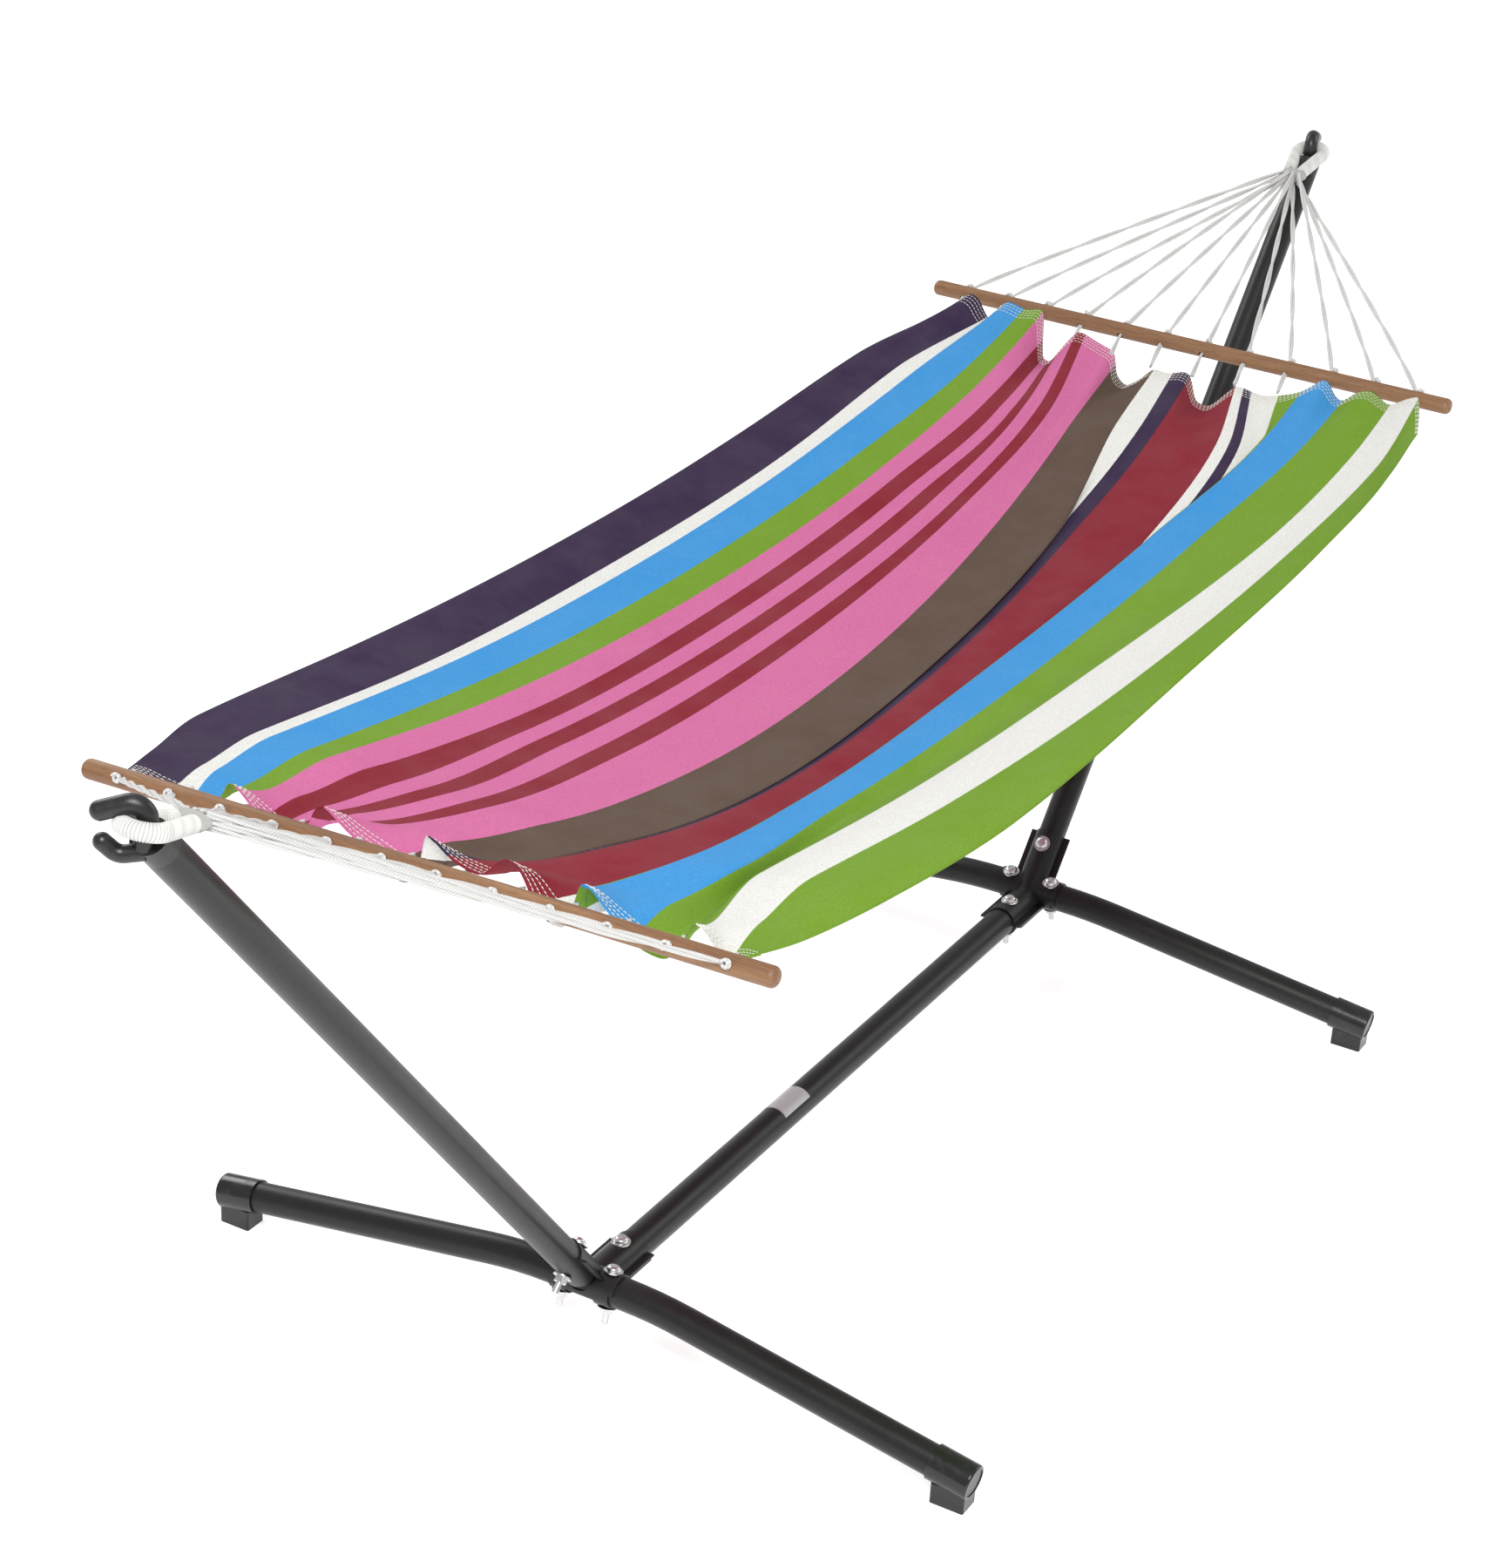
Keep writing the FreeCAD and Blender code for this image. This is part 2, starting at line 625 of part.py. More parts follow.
def suspension_cord(name, k):
    bends = [size("cord_bend_outer"), size("cord_bend_inner")]
    cord = pipe(rounded_path(cord_points(name, k), bends), size("cord_dia") / 2)
    return solid_of(cord.cut([fabric, cord_gather(SIDES[name])]))


for name in SIDES:
    for k in range(HOLES):
        publish(f"{name}_cord_{k + 1:02d}", suspension_cord(name, k))


# --- check everything, then write one STEP file per node -----------------------------------------

doc.recompute()
NODES = [
    "base_beam_tube", "foot_cap_discs", "arm_bolts", "beam_bolts", "foot_bolts", "hex_nuts",
    "flat_washers", "hammock_fabric",
]
for name in SIDES:
    NODES += [f"{name}_{piece}" for piece in (
        "arm_tube", "foot_tube", "front_foot_cap", "rear_foot_cap", "elbow_bracket", "foot_saddle",
        "hook", "hanging_loop", "cord_gather", "spreader_bar")]
    NODES += [f"{name}_cord_{k + 1:02d}" for k in range(HOLES)]

for piece in doc.Objects:
    broken = {"Invalid", "Error"} & set(piece.State)
    if broken:
        raise RuntimeError(f"{piece.Name} is {broken}")
for node in NODES:
    shape = doc.getObject(node).Shape
    if shape.isNull() or not shape.isValid() or shape.Volume <= 0:
        raise RuntimeError(f"{node} has no sound shape")

cord_section = math.pi * (size("cord_dia") / 2) ** 2
for name in SIDES:
    for k in range(HOLES):
        swept = doc.getObject(f"{name}_cord_{k + 1:02d}").Shape.Volume
        print(f"{name}_cord_{k + 1:02d}: length {cord_length(name, k):.0f} mm, volume "
              f"{swept / (cord_section * cord_length(name, k)):.3f} of section times length")
print("cord bend radii", size("cord_bend_outer"), size("cord_bend_inner"),
      "loop bend radius", size("loop_radius"))

os.makedirs("parts", exist_ok=True)
for node in NODES:
    doc.getObject(node).Shape.exportStep(f"parts/{node}.step")
print(len(NODES), "nodes written")
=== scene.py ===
import math

import bpy
import numpy as np
from mathutils import Matrix, Vector


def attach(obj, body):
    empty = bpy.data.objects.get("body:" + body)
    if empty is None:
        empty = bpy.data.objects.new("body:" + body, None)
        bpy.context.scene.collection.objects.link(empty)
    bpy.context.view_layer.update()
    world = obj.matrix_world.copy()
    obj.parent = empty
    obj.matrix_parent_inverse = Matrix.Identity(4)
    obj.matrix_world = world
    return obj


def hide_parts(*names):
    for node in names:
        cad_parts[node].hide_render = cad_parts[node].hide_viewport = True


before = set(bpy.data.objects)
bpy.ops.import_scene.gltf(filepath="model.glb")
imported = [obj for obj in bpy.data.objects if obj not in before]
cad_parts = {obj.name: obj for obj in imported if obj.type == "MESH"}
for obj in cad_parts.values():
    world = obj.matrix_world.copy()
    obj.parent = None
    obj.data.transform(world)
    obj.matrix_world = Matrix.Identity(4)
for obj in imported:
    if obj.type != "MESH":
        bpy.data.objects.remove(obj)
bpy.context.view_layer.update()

MM = 0.001
SIDES = {"left": -1.0, "right": 1.0}


# ---------------------------------------------------------------------------------------------
# Small mesh helpers
# ---------------------------------------------------------------------------------------------


def smooth_object(name, verts, faces, uvs=None, uv_name="UVMap"):
    """A smooth-shaded mesh object; uvs holds one (u, v) per vertex."""
    mesh = bpy.data.meshes.new(name)
    mesh.from_pydata([tuple(map(float, v)) for v in verts], [], [tuple(map(int, f)) for f in faces])
    if uvs is not None:
        layer = mesh.uv_layers.new(name=uv_name)
        index = np.empty(len(mesh.loops), dtype=np.int64)
        mesh.loops.foreach_get("vertex_index", index)
        layer.data.foreach_set("uv", np.asarray(uvs, dtype=np.float32)[index].ravel())
    mesh.polygons.foreach_set("use_smooth", [True] * len(mesh.polygons))
    mesh.update()
    piece = bpy.data.objects.new(name, mesh)
    bpy.context.scene.collection.objects.link(piece)
    return piece


def grid_faces(rows, columns, wrap=False):
    """Quads over a rows by columns grid of points; wrap joins the last column to the first."""
    faces = []
    last = columns if wrap else columns - 1
    for i in range(rows - 1):
        for j in range(last):
            k = (j + 1) % columns
            faces.append((i * columns + j, i * columns + k, (i + 1) * columns + k, (i + 1) * columns + j))
    return faces


def frames_along(points):
    """Unit tangents and a twist-free pair of normals at every point of a line."""
    points = np.asarray(points, dtype=float)
    tangents = np.gradient(points, axis=0)
    tangents /= np.linalg.norm(tangents, axis=1)[:, None]
    start = np.array([0.0, 0.0, 1.0])
    normal = start - tangents[0] * start.dot(tangents[0])
    if np.linalg.norm(normal) < 0.1:
        normal = np.array([0.0, 1.0, 0.0])
    normals = []
    for tangent in tangents:
        normal = normal - tangent * normal.dot(tangent)
        normal = normal / np.linalg.norm(normal)
        normals.append(normal)
    normals = np.array(normals)
    return tangents, normals, np.cross(tangents, normals)


def resample(points, spacing):
    """The same line with evenly spaced points."""
    points = np.asarray(points, dtype=float)
    steps = np.linalg.norm(np.diff(points, axis=0), axis=1)
    along = np.concatenate([[0.0], np.cumsum(steps)])
    count = max(4, int(round(along[-1] / spacing)) + 1)
    wanted = np.linspace(0.0, along[-1], count)
    return np.stack([np.interp(wanted, along, points[:, k]) for k in range(3)], axis=1), wanted


def tube(points, radii, around, caps=True):
    """Vertices and faces of a round tube whose radius is given at each point and angle."""
    points = np.asarray(points, dtype=float)
    _, normals, sides = frames_along(points)
    angles = np.linspace(0.0, 2 * math.pi, around, endpoint=False)
    radii = np.broadcast_to(np.asarray(radii, dtype=float).reshape(len(points), -1), (len(points), around))
    ring = (normals[:, None, :] * np.cos(angles)[None, :, None]
            + sides[:, None, :] * np.sin(angles)[None, :, None])
    verts = (points[:, None, :] + ring * radii[:, :, None]).reshape(-1, 3)
    faces = grid_faces(len(points), around, wrap=True)
    if caps:
        first, last = len(verts), len(verts) + 1
        verts = np.vstack([verts, points[0], points[-1]])
        end = (len(points) - 1) * around
        for j in range(around):
            k = (j + 1) % around
            faces.append((first, k, j))
            faces.append((last, end + j, end + k))
    return verts, faces


def merged(parts):
    """One vertex list and face list from several."""
    verts, faces, base = [], [], 0
    for part_verts, part_faces in parts:
        verts.append(np.asarray(part_verts))
        faces += [tuple(i + base for i in face) for face in part_faces]
        base += len(part_verts)
    return np.vstack(verts), faces


# ---------------------------------------------------------------------------------------------
# Materials
# ---------------------------------------------------------------------------------------------


class Nodes:
    """A short way to write a node tree: each call adds a node and returns it."""

    def __init__(self, name):
        self.material = bpy.data.materials.new(name)
        self.material.use_nodes = True
        self.tree = self.material.node_tree
        self.tree.nodes.clear()
        self.output = self.tree.nodes.new("ShaderNodeOutputMaterial")
        self.shader = self.tree.nodes.new("ShaderNodeBsdfPrincipled")
        self.link(self.shader.outputs["BSDF"], self.output.inputs["Surface"])

    def link(self, source, target):
        self.tree.links.new(source, target)

    def add(self, kind, **settings):
        node = self.tree.nodes.new(kind)
        for key, value in settings.items():
            setattr(node, key, value)
        return node

    def feed(self, target, value):
        if isinstance(value, bpy.types.NodeSocket):
            self.link(value, target)
        else:
            target.default_value = value

    def math(self, operation, *values, clamp=False):
        node = self.add("ShaderNodeMath", operation=operation, use_clamp=clamp)
        for socket, value in zip(node.inputs, values):
            self.feed(socket, value)
        return node.outputs[0]

    def mix(self, factor, first, second, blend="MIX"):
        node = self.add("ShaderNodeMix", data_type="RGBA", blend_type=blend)
        self.feed(node.inputs[0], factor)
        for socket, value in zip(node.inputs[6:8], (first, second)):
            self.feed(socket, (*value, 1.0) if isinstance(value, tuple) and len(value) == 3 else value)
        return node.outputs[2]

    def noise(self, vector, scale, detail=3.0, roughness=0.55):
        node = self.add("ShaderNodeTexNoise")
        node.inputs["Scale"].default_value = scale
        node.inputs["Detail"].default_value = detail
        node.inputs["Roughness"].default_value = roughness
        if vector is not None:
            self.link(vector, node.inputs["Vector"])
        return node.outputs["Fac"]

    def spread(self, value, low, high, to_low=0.0, to_high=1.0):
        node = self.add("ShaderNodeMapRange", clamp=True)
        for socket, number in zip(node.inputs[:5], (value, low, high, to_low, to_high)):
            self.feed(socket, number)
        return node.outputs[0]

    def scaled(self, vector, scale):
        node = self.add("ShaderNodeMapping")
        self.link(vector, node.inputs["Vector"])
        node.inputs["Scale"].default_value = scale
        return node.outputs["Vector"]

    def place(self):
        return self.add("ShaderNodeTexCoord").outputs["Object"]

    def uv(self, name="UVMap"):
        return self.add("ShaderNodeUVMap", uv_map=name).outputs["UV"]

    def bump(self, height, strength, distance):
        node = self.add("ShaderNodeBump")
        node.inputs["Strength"].default_value = strength
        node.inputs["Distance"].default_value = distance
        self.link(height, node.inputs["Height"])
        return node.outputs["Normal"]

    def surface(self, color, roughness, normal=None, **fixed):
        self.feed(self.shader.inputs["Base Color"], (*color, 1.0) if isinstance(color, tuple) else color)
        self.feed(self.shader.inputs["Roughness"], roughness)
        if normal is not None:
            self.link(normal, self.shader.inputs["Normal"])
        for key, value in fixed.items():
            self.shader.inputs[key.replace("_", " ")].default_value = value
        return self.material


def powder_coat(name, color):
    """Black powder coat: a glossy skin with orange peel and a dusting of fine pale specks."""
    n = Nodes(name)
    place = n.place()
    peel = n.noise(place, 620.0, 2.0)
    cloud = n.noise(place, 9.0, 3.0)
    specks = n.spread(n.noise(place, 1150.0, 1.0), 0.60, 0.70)
    tone = n.mix(n.spread(cloud, 0.3, 0.7), color, tuple(c * 1.35 for c in color))
    tone = n.mix(n.math("MULTIPLY", specks, 0.30), tone, (0.095, 0.090, 0.075))
    rough = n.math("SUBTRACT", n.spread(cloud, 0.3, 0.7, 0.33, 0.42), n.math("MULTIPLY", specks, 0.10))
    return n.surface(tone, rough, n.bump(peel, 0.32, 0.0005), Specular_IOR_Level=0.30)


def moulded_black(name, color, rough, wear=0.06):
    """Moulded black plastic or rubber with a fine grain and scuffs that catch the light."""
    n = Nodes(name)
    place = n.place()
    grain = n.noise(place, 700.0, 3.0)
    scuff = n.spread(n.noise(place, 60.0, 4.0, 0.7), 0.45, 0.75)
    tone = n.mix(scuff, color, tuple(c + wear * 0.5 for c in color))
    roughness = n.spread(scuff, 0.0, 1.0, rough, rough + 0.15)
    return n.surface(tone, roughness, n.bump(grain, 0.12, 0.0003))


def zinc(name):
    """Zinc-plated steel: bright, with a soft mottled spangle."""
    n = Nodes(name)
    place = n.place()
    mottle = n.noise(place, 260.0, 4.0, 0.7)
    tone = n.mix(n.spread(mottle, 0.3, 0.7), (0.50, 0.50, 0.50), (0.78, 0.78, 0.77))
    rough = n.spread(mottle, 0.3, 0.7, 0.22, 0.38)
    return n.surface(tone, rough, n.bump(mottle, 0.08, 0.0004), Metallic=1.0)


def wood(name):
    """Oiled brown hardwood with fibres along the bar and darker pores."""
    n = Nodes(name)
    place = n.place()
    broad = n.noise(n.scaled(place, (60.0, 2.2, 60.0)), 1.0, 4.0, 0.6)
    fibre = n.noise(n.scaled(place, (900.0, 14.0, 900.0)), 1.0, 3.0, 0.65)
    pores = n.spread(n.noise(n.scaled(place, (1500.0, 60.0, 1500.0)), 1.0, 2.0), 0.60, 0.70)
    tone = n.mix(n.spread(broad, 0.32, 0.68), (0.185, 0.082, 0.034), (0.330, 0.175, 0.082))
    tone = n.mix(n.spread(fibre, 0.35, 0.7, 0.0, 0.6), tone, (0.115, 0.048, 0.020))
    tone = n.mix(n.math("MULTIPLY", pores, 0.7), tone, (0.045, 0.019, 0.009))
    rough = n.spread(fibre, 0.3, 0.7, 0.42, 0.58)
    return n.surface(tone, rough, n.bump(fibre, 0.22, 0.0004))


def cotton(name, color, lay=0.0032, across=3.0):
    """White cotton rope: twisted strands drawn by the length and angle kept in its map, with painted shade
    darkening the grooves between the strands.
    """
    n = Nodes(name)
    split = n.add("ShaderNodeSeparateXYZ")
    n.link(n.uv(), split.inputs[0])
    length, angle = split.outputs[0], split.outputs[1]
    turn = n.math("ADD", n.math("MULTIPLY", length, 1.0 / lay), n.math("MULTIPLY", angle, across))
    ply_relief_and_shade = n.math("ABSOLUTE", n.math("SINE", n.math("MULTIPLY", turn, math.pi)))
    fuzz = n.noise(n.place(), 1400.0, 3.0, 0.7)
    height = n.math("ADD", ply_relief_and_shade, n.math("MULTIPLY", fuzz, 0.5))
    # Painted shade: the colour drops to about half in the grooves between the strands.
    tone = n.mix(n.spread(ply_relief_and_shade, 0.0, 0.5), tuple(c * 0.52 for c in color), color)
    tone = n.mix(n.spread(fuzz, 0.3, 0.7, 0.0, 0.20), tone, tuple(c * 1.05 for c in color))
    material = n.surface(tone, 0.85, n.bump(height, 0.5, 0.0006), Sheen_Weight=0.15, Sheen_Roughness=0.5)
    return material


# The bed's stripes, from its left (rear) selvedge to its right (front) one: colour, width in mm.
STRIPES = [
    ("purple", 76), ("white", 20), ("blue", 54), ("green", 38), ("pink", 34), ("red", 28),
    ("pink", 28), ("red", 26), ("pink", 28), ("red", 25), ("pink", 84), ("brown", 92),
    ("white", 34), ("purple", 22), ("red", 100), ("white", 16), ("purple", 20), ("white", 48),
    ("green", 27), ("blue", 60), ("green", 86), ("white", 70), ("green", 84),
]
CLOTH_WIDTH = sum(width for _, width in STRIPES)
DYES = {
    "purple": (0.034, 0.017, 0.056), "white": (0.78, 0.775, 0.74), "blue": (0.045, 0.290, 0.66),
    "green": (0.165, 0.315, 0.018), "pink": (0.62, 0.145, 0.335), "red": (0.235, 0.013, 0.028),
    "brown": (0.105, 0.066, 0.046),
}


def canvas(name):
    """Woven canvas: the dyed warp stripes, a plain weave, slubs and a faint fade."""
    n = Nodes(name)
    split = n.add("ShaderNodeSeparateXYZ")
    n.link(n.uv("Cloth"), split.inputs[0])
    along, across = split.outputs[0], split.outputs[1]
    ragged = n.math("MULTIPLY", n.math("SUBTRACT", n.noise(n.place(), 700.0, 1.0), 0.5), 0.0012)
    where = n.math("DIVIDE", n.math("ADD", across, ragged), CLOTH_WIDTH * MM)
    ramp = n.add("ShaderNodeValToRGB")
    ramp.color_ramp.interpolation = "CONSTANT"
    edge = 0.0
    stops = ramp.color_ramp.elements
    for index, (dye, width) in enumerate(STRIPES):
        stop = stops[0] if index == 0 else stops.new(edge / CLOTH_WIDTH) if index > 1 else stops[1]
        stop.position = edge / CLOTH_WIDTH
        stop.color = (*DYES[dye], 1.0)
        edge += width
    n.link(where, ramp.inputs[0])
    warp = n.math("ABSOLUTE", n.math("SINE", n.math("MULTIPLY", across, math.pi / 0.0011)))
    weft = n.math("ABSOLUTE", n.math("SINE", n.math("MULTIPLY", along, math.pi / 0.0013)))
    weave = n.math("MULTIPLY", warp, weft)
    place = n.place()
    slub = n.noise(n.scaled(n.uv("Cloth"), (260.0, 2600.0, 1.0)), 1.0, 2.0)
    blotch = n.noise(place, 14.0, 4.0, 0.6)
    grain = n.noise(place, 420.0, 2.0, 0.7)
    tone = n.mix(n.spread(slub, 0.35, 0.7, 0.0, 0.16), ramp.outputs[0], (0.62, 0.62, 0.62), "OVERLAY")
    tone = n.mix(n.spread(grain, 0.3, 0.7, 0.22, 0.0), tone, (0.0, 0.0, 0.0))
    tone = n.mix(n.spread(blotch, 0.3, 0.75, 0.0, 0.025), tone, (0.80, 0.79, 0.77))
    height = n.math("ADD", n.math("MULTIPLY", weave, 0.5), n.math("MULTIPLY", grain, 0.8))
    return n.surface(tone, 0.90, n.bump(height, 0.55, 0.0006), Sheen_Weight=0.02, Sheen_Roughness=0.6,
                     Specular_IOR_Level=0.12)


def thread(name, color):
    n = Nodes(name)
    fibre = n.noise(n.place(), 1800.0, 2.0)
    tone = n.mix(n.spread(fibre, 0.3, 0.7), color, tuple(c * 0.82 for c in color))
    return n.surface(tone, 0.75, n.bump(fibre, 0.3, 0.0002))


def paper_label(name):
    """A blank grey-white film label, slightly glossy, with faint darker patches of dirt across it."""
    n = Nodes(name)
    place = n.place()
    dirt = n.spread(n.noise(place, 120.0, 3.0), 0.4, 0.7)
    tone = n.mix(n.math("MULTIPLY", dirt, 0.3), (0.55, 0.56, 0.57), (0.40, 0.41, 0.42))
    return n.surface(tone, 0.35, n.bump(dirt, 0.05, 0.0002))


# ---------------------------------------------------------------------------------------------
# Finishes on the steel, plastic and wood that come from the model
# ---------------------------------------------------------------------------------------------


def give(node, material):
    """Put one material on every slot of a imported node."""
    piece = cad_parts[node]
    for slot in piece.material_slots:
        slot.material = material
    if not piece.material_slots:
        piece.data.materials.append(material)


def finish_stand():
    steel = powder_coat("Powder coat", (0.0095, 0.0095, 0.0095))
    caps = moulded_black("Glossy cap", (0.008, 0.008, 0.009), 0.20, wear=0.02)
    discs = moulded_black("Cap disc", (0.075, 0.075, 0.08), 0.40)
    hooks = moulded_black("Hook rubber", (0.010, 0.010, 0.010), 0.34, wear=0.02)
    plated = zinc("Zinc")
    give("base_beam_tube", steel)
    for side in SIDES:
        for part in ("arm_tube", "foot_tube", "elbow_bracket", "foot_saddle"):
            give(f"{side}_{part}", steel)
        for place in ("front", "rear"):
            give(f"{side}_{place}_foot_cap", caps)
        give(f"{side}_hook", hooks)
        give(f"{side}_spreader_bar", wood(f"Wood {side}"))
    give("foot_cap_discs", discs)
    for part in ("arm_bolts", "beam_bolts", "foot_bolts", "hex_nuts", "flat_washers"):
        give(part, plated)


# ---------------------------------------------------------------------------------------------
# Where the hammock hangs, in metres: the same sizes as the model's
# ---------------------------------------------------------------------------------------------

BAR_X, BAR_DIA, BAR_Z = 0.954, 0.022, {"left": 0.790, "right": 0.805}
BAR_Y = {"left": -0.008, "right": 0.008}
BAR_SKEW = {"left": math.radians(2.3), "right": math.radians(1.3)}
SEAT_X, SEAT_Z, ROPE_R, LOOP_R = 1.350, 0.997, 0.009, 0.0195
DROP, REACH = math.radians(17.5), 0.065
HOLES, HOLE_SPAN, HOLE_RISE = 12, 0.700, math.radians(28.0)


def seat(side):
    return np.array([SIDES[side] * SEAT_X, 0.0, SEAT_Z])


def pull(side):
    return np.array([-SIDES[side] * math.cos(DROP), 0.0, -math.sin(DROP)])


def gather(side):
    return seat(side) + pull(side) * REACH


def skewed(side, vector):
    """Turn a vector with the bar's slight skew about the upright."""
    turn = -SIDES[side] * BAR_SKEW[side]
    x, y, z = vector
    return np.array([x * math.cos(turn) - y * math.sin(turn), x * math.sin(turn) + y * math.cos(turn), z])


def bar_point(side, along):
    centre = np.array([SIDES[side] * BAR_X, BAR_Y[side], BAR_Z[side]])
    return centre + skewed(side, (0.0, along, 0.0))


def hole_axis(side):
    return skewed(side, (SIDES[side] * math.cos(HOLE_RISE), 0.0, math.sin(HOLE_RISE)))


def hole_offset(k):
    return (k / (HOLES - 1) - 0.5) * HOLE_SPAN


# ---------------------------------------------------------------------------------------------
# The bed: one sheet of canvas, described by sections across it
# ---------------------------------------------------------------------------------------------

EDGE_SAG = {"rear": 90.0, "front": 45.0}
TROUGH = 70.0
HALF_WIDTH_AT_BAR = 358
EXTRA_HALF_WIDTH = 62
WIDENING = 2.2
REARWARD_SHIFT = 21

# Each section row: distance across the cloth, place across the bed, height against the smooth
# bed, and at a hem also the gap from the bar's axis. All in mm, rear edge first. In the six
# sections between the hems, most places across the bed are stripe edges that another program
# read off a picture. They should be worked out from STRIPES and a take-up share instead.
LEFT_HEM = [
    (0, 354, 0, 16), (40, 334, 2, 16), (76, 305, -12, 22), (96, 288, -26, 30), (130, 264, -28, 34),
    (158, 245, -4, 32), (172, 238, 13, 30), (188, 230, 15, 30), (202, 221, 2, 34), (222, 208, -30, 46),
    (246, 196, -38, 48), (266, 186, -26, 46), (292, 170, -38, 48), (320, 154, -24, 46),
    (342, 140, 6, 40), (355, 131, 17, 38), (368, 121, 12, 38), (384, 108, -10, 46), (410, 88, -26, 52),
    (436, 68, -42, 54), (465, 50, -54, 54), (498, 35, -52, 54), (530, 21, -26, 50), (552, 13, 6, 44),
    (566, 8, 17, 42), (580, 0, 12, 42), (596, -16, -12, 50), (630, -52, -22, 52), (643, -76, 14, 42),
    (657, -90, 16, 42), (671, -100, 2, 46), (689, -110, -34, 52), (728, -126, -50, 54),
    (762, -144, -50, 54), (784, -157, -20, 48), (799, -166, 9, 40), (812, -174, 18, 38),
    (826, -184, 10, 40), (843, -200, -16, 46), (868, -230, -42, 46), (897, -262, -46, 44),
    (920, -280, -26, 40), (938, -293, 6, 34), (951, -301, 15, 32), (964, -309, 10, 32),
    (984, -322, -14, 36), (1016, -338, -20, 34), (1060, -350, -8, 26), (1100, -360, 0, 18),
]
LEFT_NINTH = [
    (0, 386, -3), (76, 328, -6), (96, 316, -9), (150, 274, -12), (188, 250, -11), (222, 216, -15),
    (250, 194, -18), (278, 174, -16), (304, 150, -14), (332, 124, -13), (357, 102, -11),
    (441, 36, -16), (487, 2, -25), (533, -36, -15), (545, -34, -19), (561, -22, -24),
    (589, -42, -17), (612, -68, -13), (689, -150, -16), (744, -186, -28), (800, -146, -6),
    (860, -220, -13), (903, -248, -34), (946, -274, -13), (1016, -322, -9), (1100, -381, -3),
]
LEFT_EIGHTH = [
    (0, 422, 0), (76, 349, 0), (96, 338, -1), (150, 288, 0), (188, 259, 3), (222, 220, -3),
    (250, 186, -6), (278, 150, -3), (304, 118, 1), (332, 88, 3), (357, 61, 2), (441, 3, -6),
    (533, -88, -2), (545, -82, -7), (561, -64, -10), (589, -92, -7), (612, -108, 0), (689, -178, -3),
    (744, -222, -12), (800, -170, 4), (830, -202, 3), (860, -231, -2), (903, -240, -26),
    (946, -253, 0), (1016, -311, 2), (1100, -402, 0),
]
LEFT_QUARTER = [
    (0, 440, 0), (76, 361, 0), (96, 352, 0), (150, 300, 0), (188, 262, 1), (222, 218, 0),
    (250, 196, -2), (278, 166, 0), (304, 138, 1), (332, 104, 1), (357, 74, 0), (441, -9, -2),
    (533, -110, -1), (545, -104, -7), (561, -84, -10), (589, -112, -7), (612, -122, -1),
    (689, -184, -8), (722, -208, -13), (800, -162, 3), (830, -188, 2), (860, -214, 0),
    (903, -232, -13), (946, -257, 0), (1016, -325, 1), (1100, -421, 0),
]
MIDDLE = [
    (0, 442, 0), (76, 375, 0), (96, 355, 0), (150, 300, 0), (188, 259, 0), (222, 228, 0),
    (250, 200, 0), (278, 174, 0), (304, 147, 0), (332, 119, 0), (357, 95, 0), (441, 8, 0),
    (533, -86, -1), (545, -80, -7), (561, -60, -10), (589, -90, -6), (612, -106, -1),
    (689, -180, -8), (722, -206, -13), (800, -146, 3), (830, -178, 1), (860, -210, 0),
    (903, -244, -3), (946, -278, 0), (1016, -351, 0), (1100, -409, -4),
]
RIGHT_QUARTER = [
    (0, 425, 0), (76, 357, 0), (96, 337, 0), (150, 282, 0), (188, 241, 0), (222, 213, 0),
    (250, 186, -2), (278, 161, 0), (304, 136, 0), (332, 116, 0), (357, 99, 1), (441, 42, -3),
    (533, -52, -1), (545, -48, -7), (561, -34, -10), (589, -62, -7), (612, -84, 0), (689, -162, -3),
    (744, -212, -13), (800, -168, 3), (860, -229, 0), (946, -325, 0), (1016, -371, 0), (1100, -404, -8),
]
RIGHT_EIGHTH = [
    (0, 406, 0), (76, 345, 0), (96, 319, 0), (150, 262, 0), (188, 228, 1), (222, 194, -1),
    (250, 172, -4), (278, 150, -6), (304, 138, -2), (332, 123, 1), (357, 104, 2), (441, 66, -6),
    (533, 4, -1), (567, -32, -5), (589, -50, -7), (640, -100, -3), (689, -146, 1), (705, -163, 0),
    (725, -180, -3), (760, -208, -12), (800, -196, 3), (860, -252, 0), (946, -328, 0),
    (1016, -372, -1), (1100, -392, -14),
]
RIGHT_HEM = [
    (0, 358, -14, 24), (20, 346, 9, 17), (44, 330, 6, 17), (76, 306, -18, 28), (92, 298, -22, 31),
    (104, 290, 5, 20), (118, 279, 10, 17), (150, 254, 4, 18), (170, 238, 7, 18), (188, 222, 13, 16),
    (204, 216, -8, 28), (248, 198, -47, 60), (284, 184, -49, 64), (314, 172, -24, 50),
    (334, 160, -4, 36), (357, 148, -4, 36), (400, 116, -12, 42), (432, 92, -16, 46),
    (452, 82, -44, 60), (486, 62, -56, 68), (516, 42, -42, 62), (533, 30, -24, 55),
    (562, 4, -28, 56), (580, -18, -18, 54), (589, -28, -18, 54), (622, -46, -54, 68),
    (656, -70, -54, 68), (689, -96, -22, 54), (706, -107, -22, 52), (726, -121, -25, 52),
    (750, -140, -29, 50), (774, -160, -24, 48), (803, -190, -14, 38), (829, -218, 11, 20),
    (843, -230, -8, 28), (860, -246, -19, 33), (880, -260, -2, 24), (898, -282, 5, 20),
    (946, -312, -9, 25), (980, -334, 4, 18), (1016, -350, 11, 16), (1054, -358, -14, 26),
    (1100, -362, -36, 36),
]
